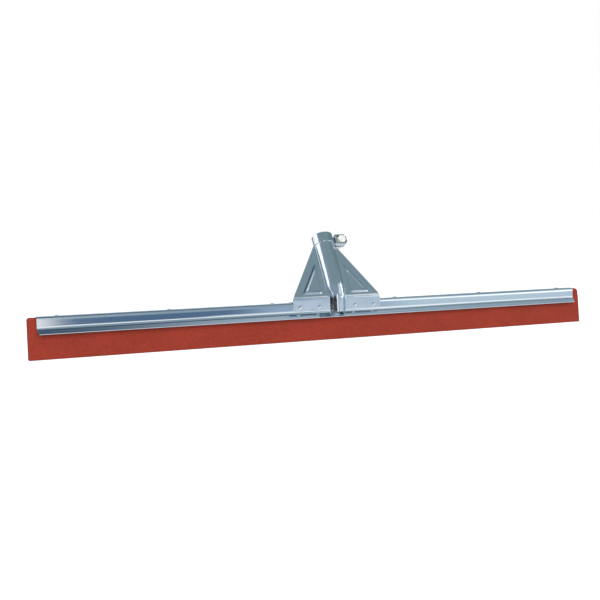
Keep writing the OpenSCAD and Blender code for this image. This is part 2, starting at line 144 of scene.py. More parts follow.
def resampled(path: Array, shares: Array) -> Array:
    """A path's points at shares of its length, from 0 at its start to 1 at its end."""
    run = np.concatenate([[0.0], np.cumsum(np.linalg.norm(np.diff(path, axis=0), axis=1))])
    return np.stack([np.interp(shares * run[-1], run, column) for column in path.T], axis=1)


def grid_faces(rows: int, columns: int, closed: bool = False) -> Array:
    """Quads of a grid of points stored row by row.

    Args:
        rows: number of rows.
        columns: number of points in a row.
        closed: whether each row joins its own start.

    Returns:
        Index quads, one row each.
    """
    i, j = np.meshgrid(np.arange(rows - 1), np.arange(columns if closed else columns - 1), indexing="ij")
    k = (j + 1) % columns
    low, high = i * columns, (i + 1) * columns
    return np.stack([low + j, low + k, high + k, high + j], axis=-1).reshape(-1, 4)


class MeshPart:
    """Points and faces of one closed shell, in millimetres."""

    def __init__(self, points: Array, quads: Array, loops: Sequence[Sequence[int]] = ()) -> None:
        """Keeps the shell and turns its faces outwards, by the sign of its volume.

        Args:
            points: one row each.
            quads: index quads.
            loops: further polygons.
        """
        self.points = points.reshape(-1, 3)
        a, b, c, d = (self.points[quads[:, k]] for k in range(4))
        volume = np.einsum("ij,ij->i", a, np.cross(b, c) + np.cross(c, d)).sum()
        for loop in loops:
            p = self.points[list(loop)]
            volume += (np.cross(p[1:-1], p[2:]) @ p[0]).sum()
        turn = -1 if volume < 0 else 1
        self.faces = [f[::turn] for f in quads.tolist()] + [list(f)[::turn] for f in loops]


def thick_sheet(outer: Array, inner: Array) -> MeshPart:
    """The closed shell between two grids of points with the same layout.

    Args:
        outer: rows by columns by 3 points of one face.
        inner: the same of the other face.

    Returns:
        The shell with its four rims closed.
    """
    rows, columns = outer.shape[:2]
    half = rows * columns
    index = np.arange(half).reshape(rows, columns)
    rim = np.concatenate([index[0], index[1:, -1], index[-1, -2::-1], index[-2:0:-1, 0]])
    after = np.roll(rim, -1)
    sides = np.stack([rim, rim + half, after + half, after], axis=1)
    face = grid_faces(rows, columns)
    faces = np.concatenate([face, face[:, ::-1] + half, sides])
    return MeshPart(np.concatenate([outer.reshape(-1, 3), inner.reshape(-1, 3)]), faces)


def revolved(radius: Array, height: Array, place: Matrix, start: float, ring: bool) -> MeshPart:
    """The closed shell of a stack of rings round the placement's Z.

    Args:
        radius: rows by steps radii, the steps evenly round the axis.
        height: height of each row, as a column.
        place: placement of the axis, in millimetres.
        start: turn of the first step, in radians.
        ring: whether the last row joins the first, or each end gets a polygon.

    Returns:
        The closed shell.
    """
    rows, steps = radius.shape
    q = np.linspace(0.0, 2 * math.pi, steps, endpoint=False) + start
    grid = placed(np.stack([radius * np.cos(q), radius * np.sin(q), height + 0 * q], axis=-1), place)
    if ring:
        return MeshPart(grid, grid_faces(rows + 1, steps, closed=True) % (rows * steps))
    ends = [list(range(steps)), list(range((rows - 1) * steps, rows * steps))[::-1]]
    return MeshPart(grid, grid_faces(rows, steps, closed=True)[:, ::-1], ends)


def turned(profile: Array, place: Matrix, steps: int, ring: bool = False) -> MeshPart:
    """A solid of revolution: the profile (radius, height) turned about the placement's Z."""
    return revolved(profile[:, :1] + np.zeros(steps), profile[:, 1:], place, 0.0, ring)


def placed(points: Array, place: Matrix) -> Array:
    """Points put through a placement matrix, in the layout that they came in."""
    m = np.array(place)
    return points @ m[:3, :3].T + m[:3, 3]


# Shared node building


def srgb(*parts: int) -> Colour:
    """Linear colour of an sRGB colour given as three numbers from 0 to 255."""
    shares = (part / 255 for part in parts)
    return tuple(c / 12.92 if c <= 0.04045 else ((c + 0.055) / 1.055) ** 2.4 for c in shares)


@dataclass
class Graph:
    """Short ways to add nodes to a node tree."""

    tree: NodeTree

    def node(self, kind: str, inputs: dict | None = None, **settings: object) -> bpy.types.Node:
        """Adds a node.

        Args:
            kind: the node's class name without "ShaderNode".
            inputs: values or sockets for its inputs, by name or index.
            settings: attributes to set on it first.

        Returns:
            The node.
        """
        made = self.tree.nodes.new("ShaderNode" + kind)
        for key, value in settings.items():
            setattr(made, key, value)
        self.feed(made, inputs or {})
        return made

    def feed(self, node: bpy.types.Node, inputs: dict) -> None:
        """Links sockets to a node's inputs, or sets values on them.

        Args:
            node: the node.
            inputs: sockets or values, by the input's name or index.
        """
        for key, value in inputs.items():
            if isinstance(value, Socket):
                self.tree.links.new(value, node.inputs[key])
            else:
                node.inputs[key].default_value = value

    def place(self) -> Socket:
        """The point in the object's own coordinates."""
        return self.node("TexCoord").outputs["Object"]

    def group(self, tree: NodeTree, **inputs: object) -> bpy.types.Node:
        """A shared effect's node, with values for its inputs."""
        return self.node("Group", inputs, node_tree=tree)

    def maths(self, operation: str, a: object, b: object = 0.0) -> Socket:
        """A Math node's output for one or two numbers or sockets."""
        return self.node("Math", {0: a, 1: b}, operation=operation).outputs[0]

    def step(self, value: Socket, low: float, high: float, start: float = 0, end: float = 1) -> Socket:
        """A smooth Map Range of a value from [low, high] to [start, end]."""
        inputs = {"Value": value, "From Min": low, "From Max": high, "To Min": start, "To Max": end}
        return self.node("MapRange", inputs, interpolation_type="SMOOTHSTEP").outputs[0]

    def mix(self, share: object, a: object, b: object) -> Socket:
        """A colour Mix node's output; plain colours may be three numbers."""
        a, b = (v + (1.0,) if isinstance(v, tuple) else v for v in (a, b))
        return self.node("Mix", {0: share, 6: a, 7: b}, data_type="RGBA").outputs[2]

    def noise(self, place: Socket, scale: object, detail: float = 3.0, rough: float = 0.5) -> Socket:
        """A 3D noise's value from 0 to 1 at a place."""
        inputs = {"Vector": place, "Scale": scale, "Detail": detail, "Roughness": rough}
        return self.node("TexNoise", inputs).outputs[0]

    def stretched(self, place: Socket, scale: Triple) -> Socket:
        """A place put through a Mapping node's scale along X, Y and Z."""
        return self.node("Mapping", {"Vector": place, "Scale": scale}).outputs[0]


def new_group(name: str, outputs: Sequence[str], **inputs: object) -> tuple[Graph, dict, bpy.types.Node]:
    """A shader node group with named sockets.

    Args:
        name: the group's name.
        outputs: names of its outputs, which are numbers.
        inputs: name and default value of each input, a number or three of them.

    Returns:
        The group's graph, its input sockets by name, and its output node.
    """
    tree = bpy.data.node_groups.new(name, "ShaderNodeTree")
    for label, value in inputs.items():
        kind = "NodeSocketVector" if isinstance(value, tuple) else "NodeSocketFloat"
        tree.interface.new_socket(name=label, in_out="INPUT", socket_type=kind).default_value = value
    for label in outputs:
        tree.interface.new_socket(name=label, in_out="OUTPUT", socket_type="NodeSocketFloat")
    start, end = tree.nodes.new("NodeGroupInput"), tree.nodes.new("NodeGroupOutput")
    return Graph(tree), {s.name: s for s in start.outputs}, end


def new_material(name: str) -> tuple[Material, Graph, bpy.types.Node]:
    """A new material.

    Args:
        name: its name.

    Returns:
        The material, its graph and its shader.
    """
    material = bpy.data.materials.new(name)
    material.use_nodes = True
    return material, Graph(material.node_tree), material.node_tree.nodes["Principled BSDF"]


class Effects:
    """The shared effects, each a node group built once."""

    def __init__(self) -> None:
        """Builds the groups."""
        self.wear = self._edge_wear()
        self.streaks = self._rolling_streaks()
        self.smudges = self._smudges()
        self.pores = self._foam_pores()

    @staticmethod
    def _edge_wear() -> NodeTree:
        """Mask of sharp edges: one minus the agreement of the rounded and the true normal.

        Returns:
            The node group.
        """
        g, given, end = new_group("edge_wear", ("Mask",), Width=0.0004, Breakup=900.0)
        soft = g.node("Bevel", {"Radius": given["Width"]}, samples=4).outputs[0]
        true = g.node("NewGeometry").outputs["Normal"]
        same = g.node("VectorMath", {0: soft, 1: true}, operation="DOT_PRODUCT").outputs["Value"]
        edge = g.step(g.maths("SUBTRACT", 1.0, same), 0.004, 0.12)
        patchy = g.noise(g.place(), given["Breakup"])
        g.feed(end, {0: g.maths("MULTIPLY", edge, g.step(patchy, 0.3, 0.65, 0.35, 1.0))})
        return g.tree

    @staticmethod
    def _rolling_streaks() -> NodeTree:
        """Fine marks of rolled sheet: noise squeezed along one axis, as a value and a height.

        Returns:
            The node group.
        """
        inputs = {"Stretch": (0.03, 1.0, 1.0), "Fineness": 900.0}
        g, given, end = new_group("rolling_streaks", ("Tone", "Height"), **inputs)
        place = g.node("VectorMath", {0: g.place(), 1: given["Stretch"]}, operation="MULTIPLY").outputs[0]
        fine = g.noise(place, given["Fineness"], 4.0, 0.6)
        broad = g.noise(place, g.maths("MULTIPLY", given["Fineness"], 0.11), 2.0)
        for output, share in enumerate((0.55, 0.25)):
            parts = g.maths("MULTIPLY", fine, share), g.maths("MULTIPLY", broad, 1 - share)
            g.feed(end, {output: g.maths("ADD", *parts)})
        return g.tree

    @staticmethod
    def _smudges() -> NodeTree:
        """Cloudy handling marks: the part of a warped noise that lies above a limit.

        Returns:
            The node group.
        """
        g, given, end = new_group("smudges", ("Mask",), Size=60.0, Amount=0.5)
        warped = {"Scale": given["Size"], "Detail": 5.0, "Roughness": 0.65, "Distortion": 0.6}
        cloud = g.node("TexNoise", {"Vector": g.place(), **warped}).outputs[0]
        g.feed(end, {0: g.maths("MULTIPLY", g.step(cloud, 0.48, 0.72), given["Amount"])})
        return g.tree

    @staticmethod
    def _foam_pores() -> NodeTree:
        """Skin of moss rubber: cell distances for open pores and two noises for its grain.

        Returns:
            The node group.
        """
        g, given, end = new_group("foam_pores", ("Pores", "Height"), Scale=1500.0)
        place = g.place()
        cells = g.node("TexVoronoi", {"Vector": place, "Scale": given["Scale"]}).outputs["Distance"]
        rare = g.step(g.noise(place, 520.0, 2.0), 0.52, 0.66)
        pores = g.maths("MULTIPLY", g.step(cells, 0.12, 0.34, 1.0, 0.0), rare)
        grain = g.noise(place, g.maths("MULTIPLY", given["Scale"], 1.6), 3.0, 0.7)
        g.feed(end, {0: pores, 1: g.maths("SUBTRACT", grain, g.maths("MULTIPLY", pores, 0.9))})
        return g.tree


# Finishes


class Rolling(Enum):
    """Which way a sheet was rolled, as the squeeze of its streaks along X, Y and Z."""

    ALONG_BLADE = (0.02, 1.0, 1.0)
    UP_THE_SOCKET = (1.0, 0.05, 0.05)
    NONE = (1.0, 1.0, 1.0)


@dataclass(frozen=True)
class ZincFinish:
    """Zinc-plated steel with rolling streaks, smudges and bright worn edges.

    wave is the height in millimetres of its slow unevenness, and wave_scale the noise's
    scale along X, Y and Z. crown gives the middle, half width and fall of a face that
    falls off to both its edges by fall * |(z - middle) / half|^6, in millimetres.
    """

    name: str
    colour: Colour
    dull_colour: Colour
    roughness: float
    dull_roughness: float
    rolling: Rolling
    streak_scale: float = 900.0
    streak_depth: float = 0.0008
    wave: float = 0.05
    wave_scale: Triple = (6.0, 40.0, 40.0)
    smudge: float = 0.35
    smudge_size: float = 70.0
    crown: Triple | None = None
    metallic: float = 1.0

    def build(self, effects: Effects) -> Material:
        """Makes the material.

        Args:
            effects: the shared node groups.

        Returns:
            The material.
        """
        material, g, shader = new_material(self.name)
        place = g.place()
        streaks = g.group(effects.streaks, Stretch=self.rolling.value, Fineness=self.streak_scale)
        smudge = g.group(effects.smudges, Size=self.smudge_size, Amount=self.smudge).outputs["Mask"]
        wear = g.group(effects.wear).outputs["Mask"]
        tone = g.step(streaks.outputs["Tone"], 0.3, 0.7)
        colour = g.mix(g.maths("MULTIPLY", tone, 0.5), self.colour, self.dull_colour)
        colour = g.mix(smudge, colour, self.dull_colour)
        bright = tuple(c * 0.4 + 0.6 for c in self.colour)
        colour = g.mix(g.maths("MULTIPLY", wear, 0.6), colour, bright)
        more = self.dull_roughness - self.roughness
        rough = g.maths("ADD", self.roughness, g.maths("MULTIPLY", tone, more * 0.5))
        rough = g.maths("ADD", rough, g.maths("MULTIPLY", smudge, more))
        height = g.maths("MULTIPLY", g.noise(g.stretched(place, self.wave_scale), 1.0, 1.0), self.wave)
        if self.crown is not None:
            middle, half, fall = self.crown
            z = g.node("SeparateXYZ", {0: place}).outputs[2]
            off = g.maths("MULTIPLY", g.maths("SUBTRACT", z, middle * MM), 1 / (half * MM))
            off = g.maths("MINIMUM", g.maths("ABSOLUTE", off), 1.0)
            height = g.maths("SUBTRACT", height, g.maths("MULTIPLY", g.maths("POWER", off, 6.0), fall))
        bump = g.node("Bump", {"Strength": 1.0, "Distance": MM, "Height": height}).outputs[0]
        marks = {"Distance": self.streak_depth * MM, "Height": streaks.outputs["Height"]}
        fine = g.node("Bump", {"Strength": 1.0, "Normal": bump, **marks}).outputs[0]
        looks = {"Base Color": colour, "Roughness": rough, "Normal": fine, "Metallic": self.metallic}
        g.feed(shader, looks)
        return material


@dataclass(frozen=True)
class FoamRubberFinish:
    """Brick red moss rubber: matte, porous, and darker over its lowest millimetres."""

    name: str = "moss_rubber"
    colour: Colour = srgb(128, 45, 32)
    deep_colour: Colour = srgb(113, 38, 26)
    pore_colour: Colour = srgb(72, 23, 17)
    pore_scale: float = 1400.0
    darkened_bottom: float = 1.6
    wave: float = 0.15
    grain: float = 0.05

    def build(self, effects: Effects) -> Material:
        """Makes the material.

        Args:
            effects: the shared node groups.

        Returns:
            The material.
        """
        material, g, shader = new_material(self.name)
        place = g.place()
        pores = g.group(effects.pores, Scale=self.pore_scale)
        cloud = g.noise(g.stretched(place, (0.5, 1.0, 1.0)), 45.0, 4.0, 0.6)
        mottle = g.noise(place, 420.0, 3.0, 0.6)
        blend = g.maths("ADD", g.step(cloud, 0.3, 0.7, 0.0, 0.4), g.step(mottle, 0.3, 0.7, 0.0, 0.6))
        colour = g.mix(blend, self.colour, self.deep_colour)
        colour = g.mix(g.maths("MULTIPLY", pores.outputs["Pores"], 0.55), colour, self.pore_colour)
        z = g.node("SeparateXYZ", {0: place}).outputs[2]
        # Darker towards the bottom: up to 0.35 of the pore colour at the floor, fading out over the
        # lowest millimetres set by the field above.
        colour = g.mix(g.step(z, 0.0, self.darkened_bottom * MM, 0.35, 0.0), colour, self.pore_colour)
        slow = {"Distance": self.wave * MM, "Height": g.noise(place, 90.0, 2.0)}
        wave = g.node("Bump", {"Strength": 1.0, **slow}).outputs[0]
        grain = {"Distance": self.grain * MM, "Height": pores.outputs["Height"]}
        skin = g.node("Bump", {"Strength": 0.8, "Normal": wave, **grain}).outputs[0]
        rough = g.step(mottle, 0.2, 0.8, 0.78, 0.95)
        looks = {"Base Color": colour, "Roughness": rough, "Normal": skin, "Specular IOR Level": 0.25}
        g.feed(shader, looks)
        return material


class Finishes:
    """All materials of the head, built once."""

    def __init__(self, effects: Effects) -> None:
        """Builds the materials.

        Args:
            effects: the shared node groups.
        """
        bright, blue = srgb(236, 242, 246), srgb(214, 226, 236)
        self.rubber = FoamRubberFinish().build(effects)
        self.channel = ZincFinish(
            "zinc_channel", bright, blue, 0.06, 0.14, Rolling.ALONG_BLADE,
            wave=0.1, wave_scale=(2.0, 240.0, 240.0), smudge=0.2, crown=(40.9, 4.7, 0.14),
        ).build(effects)
        self.bracket = ZincFinish(
            "zinc_bracket", bright, blue, 0.13, 0.24, Rolling.UP_THE_SOCKET,
            streak_scale=700.0, wave=0.2, wave_scale=(45.0, 45.0, 45.0), smudge=0.3,
        ).build(effects)
        self.clamp = ZincFinish(
            "zinc_clamp", bright, srgb(205, 214, 220), 0.12, 0.25, Rolling.NONE,
            wave=0.01, wave_scale=(60.0, 60.0, 60.0), smudge=0.3,
        ).build(effects)
        self.fastener = ZincFinish(
            "zinc_fastener", srgb(226, 226, 218), srgb(186, 184, 172), 0.34, 0.5, Rolling.NONE,
            wave=0.006, wave_scale=(200.0, 200.0, 200.0), smudge=0.5, smudge_size=240.0, metallic=0.4,
        ).build(effects)
        self.rivet = ZincFinish(
            "bright_rivet", srgb(240, 243, 245), srgb(215, 220, 224), 0.1, 0.22, Rolling.NONE,
            wave=0.008, wave_scale=(240.0, 240.0, 240.0), smudge=0.3, smudge_size=260.0,
        ).build(effects)
        self.core = ZincFinish(
            "rolled_core", srgb(196, 198, 200), srgb(150, 152, 154), 0.34, 0.5, Rolling.ALONG_BLADE,
        ).build(effects)


# Pieces


def linked(name: str, data: bpy.types.ID) -> Object:
    """A mesh, light or camera as an object of the scene.

    Args:
        name: the object's name.
        data: what it holds.

    Returns:
        The object, at the origin.
    """
    made = bpy.data.objects.new(name, data)
    bpy.context.scene.collection.objects.link(made)
    return made


def make_piece(name: str, parts: Sequence[MeshPart], material: Material, edge: float) -> Object:
    """An object at the origin from closed shells, smooth shaded, its edges bevelled.

    Args:
        name: the piece's name.
        parts: its shells, in millimetres.
        material: its material.
        edge: width of the bevel on its sharp edges, in millimetres, or 0 for none.

    Returns:
        The object.
    """
    points = np.concatenate([p.points for p in parts]) * MM
    offsets = np.cumsum([0] + [len(p.points) for p in parts])
    faces = [[i + int(o) for i in f] for p, o in zip(parts, offsets) for f in p.faces]
    mesh = bpy.data.meshes.new(name)
    mesh.from_pydata(points.tolist(), [], faces)
    return finish_piece(name, mesh, material, edge)


def finish_piece(name: str, mesh: bpy.types.Mesh, material: Material, edge: float) -> Object:
    """Links a mesh as an object and gives it its material, shading and bevel.

    Args:
        name: the piece's name.
        mesh: its mesh.
        material: its material.
        edge: width of the bevel in millimetres, or 0 for none.

    Returns:
        The object.
    """
    mesh.materials.clear()
    mesh.materials.append(material)
    mesh.shade_smooth()
    mesh.update()
    piece = linked(name, mesh)
    if edge > 0:
        bevel = piece.modifiers.new("edge", "BEVEL")
        bevel.width = edge * MM
        bevel.segments = BEVEL_SEGMENTS
        bevel.limit_method = "ANGLE"
        bevel.angle_limit = BEVEL_FROM_ANGLE
        bevel.harden_normals = True
        bevel.use_clamp_overlap = True
    else:
        mesh.set_sharp_from_angle(angle=SHARP_FROM_ANGLE)
    return piece


def refined_node(node: str, name: str, material: Material, edge: float) -> Object:
    """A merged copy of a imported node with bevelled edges, which stands for the node.

    Args:
        node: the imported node.
        name: the new piece's name.
        material: its material.
        edge: width of the bevel, in millimetres.

    Returns:
        The new piece.
    """
    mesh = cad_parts[node].data.copy()
    mesh.name = name
    work = bmesh.new()
    work.from_mesh(mesh)
    bmesh.ops.remove_doubles(work, verts=work.verts, dist=SAME_POINT)
    work.to_mesh(mesh)
    work.free()
    piece = finish_piece(name, mesh, material, edge)
    piece.modifiers["edge"].harden_normals = False
    even = piece.modifiers.new("even", "WEIGHTED_NORMAL")
    even.keep_sharp, even.weight = True, 100
    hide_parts(node)
    return piece


def declare(piece: Object, body: str, slot: str, *nodes: str) -> None:
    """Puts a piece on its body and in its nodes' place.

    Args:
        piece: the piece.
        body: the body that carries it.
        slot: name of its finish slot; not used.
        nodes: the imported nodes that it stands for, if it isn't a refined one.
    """
    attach(piece, body)
    if nodes:
        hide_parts(*nodes)
    triangles = sum(len(p.vertices) - 2 for p in piece.data.polygons)
    log.info("%s on %s: %d triangles before bevels", piece.name, body, triangles)


@dataclass
class Strip:
    """What the blade and the channel share: a profile carried along X to rounded ends."""

    length: float
    end_r: float
    end_least: float
    end_rows: int
    middle_rows: int

    def places(self) -> Array:
        """Places along X, closer together over the last end_r at each end.

        Returns:
            The places as a column.
        """
        half, straight = self.length / 2, self.length / 2 - self.end_r
        start = -half + np.linspace(0, self.end_r, self.end_rows)
        middle = np.linspace(-straight, straight, self.middle_rows)[1:-1]
        return np.concatenate([start, middle, np.linspace(straight, half, self.end_rows)])[:, None]

    def carried(self, y: Array, z: Array, depth: Array) -> Array:
        """A profile carried along X, its ends drawn in as a circle towards one rim.

        The ends lie at half - r + sqrt(r^2 - depth^2) from the middle, where r is end_r, and
        keep at least end_least of r.

        Args:
            y: the profile's places across, for all rows or for each.
            z: its heights.
            depth: how far each point lies past the circle's centre, towards the rim.

        Returns:
            rows by points by 3 numbers.
        """
        x, r = self.places(), self.end_r
        straight = self.length / 2 - r
        depth = np.clip(depth, 0.0, r)
        reach = np.sqrt(np.maximum(r * r - depth * depth, (self.end_least * r) ** 2))
        past = np.clip(np.abs(x) - straight, 0.0, r)
        along = np.sign(x) * (np.minimum(np.abs(x), straight) + past * reach / r)
        return np.stack(np.broadcast_arrays(along, y, z), axis=-1)


@dataclass
class Blade(Strip):
    """The folded moss rubber strip with its two hanging lips."""

    length: float = 750.0
    end_r: float = 3.0
    end_least: float = 0.12
    end_rows: int = 13
    middle_rows: int = 221
    top: float = 47.55
    half_width: float = 6.9
    lip: float = 5.2
    fold: float = 3.5
    splay: float = 1.6
    mouth: float = 34.1
    mouth_r: float = 5.0
    inner_mouth_r: float = 3.0
    fold_r: float = 4.8
    inner_fold_r: float = 1.4
    fold_draw: float = 1.8
    wander: float = 0.18
    wander_x: tuple[float, float] = (61.0, 23.0)
    edge: float = 0.35
    arc_steps: int = 12
    columns: int = 121

    def build(self, finishes: Finishes) -> None:
        """Makes the blade as the sheet between an outer and an inner arch carried along X.

        Args:
            finishes: the materials.
        """
        half, gap = self.half_width, self.half_width - self.lip
        outer = [(half + self.splay, 0.0), (half, self.mouth), (half - self.fold_draw, self.top)]
        inner = [(gap + self.splay, 0.0), (gap, self.mouth), (gap, self.top - self.fold)]
        outer = self._face(outer, (self.mouth_r, self.fold_r))
        inner = self._face(inner, (self.inner_mouth_r, self.inner_fold_r))
        piece = make_piece("blade_strip", [thick_sheet(outer, inner)], finishes.rubber, self.edge)
        declare(piece, "frame", "rubber", "rubber_blade")

    def _face(self, side: Points, radii: Sequence[float]) -> Array:
        """One face of the rubber, its ends' upper corners rounded and its lips wandering.

        Where wander * sin(x / a) * sin(x / b + 1) is negative, the lips come in by it, fully
        at the foot and less up to the mouth, a and b being the two lengths of wander_x.

        Args:
            side: points (y, z) of one lip, from its foot to the fold.
            radii: radius at each of them but the first.

        Returns:
            rows by points by 3 numbers.
        """
        y, z = resampled(arch(side, radii, self.arc_steps), np.linspace(0.0, 1.0, self.columns)).T
        slow, fast = (self.places() / length for length in self.wander_x)
        wander = self.wander * np.sin(slow) * np.sin(fast + 1.0)
        y = y + np.sign(y) * np.minimum(smooth(self.mouth, 0.0, z) * wander, 0.0)
        return self.carried(y, z, z - (self.top - self.end_r))


@dataclass
class Channel(Strip):
    """The bent steel channel with its concave folds and flared lips."""

    length: float = 730.0
    end_r: float = 3.0
    end_least: float = 0.1
    end_rows: int = 9
    middle_rows: int = 241
    half_width: float = 7.85
    top: float = 48.5
    edge_z: float = 28.7
    fold_z: float = 34.1
    lip: float = 14.45
    sheet: float = 0.9
    corner_r: float = 3.2
    flare_r: float = 5.0
    edge: float = 0.18
    arc_steps: int = 14

    def build(self, finishes: Finishes) -> None:
        """Makes the channel as the sheet between two moves of its bent centre line.

        The end corners of its lips are rounded.

        Args:
            finishes: the materials.
        """
        t = self.sheet / 2
        wall = self.half_width - t
        side = [(self.lip - t, self.edge_z), (wall, self.fold_z), (wall, self.top - t)]
        line = arch(side, (self.flare_r, self.corner_r - t), self.arc_steps)
        faces = []
        for distance in (t, -t):
            y, z = moved(line, distance).T
            faces.append(self.carried(y, z, self.edge_z + self.end_r - z))
        piece = make_piece("channel_sheet", [thick_sheet(*faces)], finishes.channel, self.edge)
        declare(piece, "frame", "channel", "channel")


@dataclass
class Bracket:
    """The two pressed shells of the bracket: wings with ribs, socket, knee and feet.

    Shares count along the bulge's profile from the wing to its crown: the fillet ends at
    fillet_share, and the mouth's edge drops by bulge_drop between the two drop_shares.
    rib_sharpness rounds the outer and the inner triangle of a rib.
    """

    lean: float = 29.0
    bend_z: float = 53.2
    bend_r: float = 10.0
    wall_y: float = -7.85
    sheet: float = 0.9
    socket_r: float = 12.8
    socket_length: float = 88.3
    seam: float = 0.25
    wing_top: float = 75.2
    ledge_half: float = 14.7
    foot_half: float = 60.0
    foot_z: float = 37.0
    foot_corner_r: float = 2.5
    shoulder_r: float = 20.0
    bulge_half: float = 9.2
    bulge_depth: float = 10.6
    bulge_fillet: float = 2.2
    bulge_corner: float = 7.4
    bulge_drop: float = 2.0
    drop_length: float = 10.0
    drop_shares: tuple[float, float] = (0.02, 0.2)
    knee_length: float = 12.0
    socket_fillet: float = 1.3
    lead_in: float = 0.01
    rib_height: float = 0.8
    rib_width: float = 4.6
    rib_slope: float = 2.2
    rib_fall: float = 0.6
    rib_sharpness: tuple[float, float] = (1.4, 2.6)
    rib_reach: float = 20.0
    rib_off_socket: float = 6.0
    rib_off_edge: float = 9.0
    rib_base: float = 4.6
    edge: float = 0.16
    outline_steps: int = 16
    bulge_steps: int = 14
    fillet_points: int = 12
    circle_points: int = 40
    wing_columns: int = 76
    fillet_share: float = 0.13
    fillet_columns: int = 9
    top_columns: int = 26
    foot_rows: int = 26
    bend_rows: int = 9
    row_step: float = 0.5
    upper_columns: int = 49
    upper_rows: int = 9
    tilt: float = field(init=False)
    bend_start: float = field(init=False)
    bend_arc: float = field(init=False)
    past_bend: float = field(init=False)

    def __post_init__(self) -> None:
        """Works out the lean in radians, and the bend's reach, start and length."""
        self.tilt = math.radians(self.lean)
        self.past_bend = self.bend_r * math.tan(self.tilt / 2)
        self.bend_start = self.bend_z - self.past_bend
        self.bend_arc = self.bend_r * self.tilt

    def contact(self, run: Array) -> tuple[Array, Array]:
        """The line where the shells touch, by its length from the start of the bend.

        Args:
            run: lengths along the line.

        Returns:
            The lean in radians, and the points (y, z), at each length.
        """
        q = np.clip(run / self.bend_r, 0.0, self.tilt)
        beyond = np.where(run < 0, run, np.maximum(0.0, run - self.bend_arc))
        y = self.wall_y + self.bend_r * (1 - np.cos(q)) + beyond * np.sin(q)
        z = self.bend_start + self.bend_r * np.sin(q) + beyond * np.cos(q)
        return q, np.stack([y, z], axis=-1)

    def outline(self, z: Array) -> Array:
        """Half the bracket's width, read off its rounded outline.

        Args:
            z: heights.

        Returns:
            The half width at each height.
        """
        top = self.bend_z + self.wing_top * math.cos(self.tilt)
        half = self.foot_half
        corners = [[0, self.foot_z], [half, self.foot_z], [half, self.bend_z], [self.ledge_half, top]]
        side = rounded_path(corners, [self.foot_corner_r, self.shoulder_r], self.outline_steps)[1:]
        return np.interp(z, side[:, 1], side[:, 0])

    def half_profile(self, share: Array, columns_at: Array) -> Array:
        """Outer face of the bulge's half from the wing to its crown, as (x, height) rows.

        The narrow profile has straight sides and round corners, the round one is the
        socket's circle; both start with a fillet on the wing, and are blended by
        share^2 * (3 - 2 * share).

        Args:
            share: 0 at the foot to 1 where the socket is round, one for each row.
            columns_at: places along the profile from 0 to 1.

        Returns:
            rows by columns by 2 numbers.
        """
        t, f, b, d = self.sheet, self.bulge_fillet, self.bulge_half, self.bulge_depth
        corners = [[b + f + self.lead_in, t], [b, t], [b, d], [0, d]]
        narrow = rounded_path(corners, [f, self.bulge_corner], self.bulge_steps)
        r, g = self.socket_r, self.socket_fillet
        across = math.sqrt((r + g) ** 2 - (t + g) ** 2)
        start = math.atan2(t + g, across)
        turn = np.linspace(-math.pi / 2, start - math.pi, self.fillet_points)
        fillet = np.stack([across + g * np.cos(turn), t + g + g * np.sin(turn)], axis=1)
        turn = np.linspace(start, math.pi / 2, self.circle_points)[1:]
        circle = np.stack([r * np.cos(turn), r * np.sin(turn)], axis=1)
        paths = narrow, np.concatenate([fillet, circle])
        narrow, rounding = (resampled(path, columns_at)[None] for path in paths)
        ease = smooth(0.0, 1.0, share)[:, None, None]
        return (1 - ease) * narrow + ease * rounding

    def rib(self, x: Array, s: Array) -> Array:
        """Height of the pressed rib at a place on a wing.

        Distances to the three sides of the outer and the inner triangle are blended by a
        soft minimum, -ln(sum(exp(-k d))) / k, which rounds the corners. The rib rises over
        rib_slope inside the outer triangle and falls over rib_fall of it to the inner one.

        Args:
            x: distance from the middle plane.
            s: height above the bend along the socket.

        Returns:
            Heights in millimetres.
        """
        slope = (self.foot_half - self.ledge_half) / self.wing_top
        edge = (self.foot_half - x - slope * s) / math.sqrt(1 + slope * slope) - self.rib_off_edge
        sides = x - self.socket_r - self.rib_off_socket, s - self.rib_base, edge
        sides = np.stack(np.broadcast_arrays(*sides))

        def inside(inset: float, sharp: float) -> Array:
            """Soft distance into the triangle drawn in by an inset."""
            near = np.clip(sides - inset, -self.rib_reach, self.rib_reach)
            return -np.log(np.exp(-sharp * near).sum(axis=0)) / sharp

        outer, inner = self.rib_sharpness
        rise = smooth(0.0, self.rib_slope, inside(0.0, outer))
        fall = smooth(-self.rib_fall * self.rib_slope, 0.0, inside(self.rib_width, inner))
        return self.rib_height * rise * (1.0 - fall)

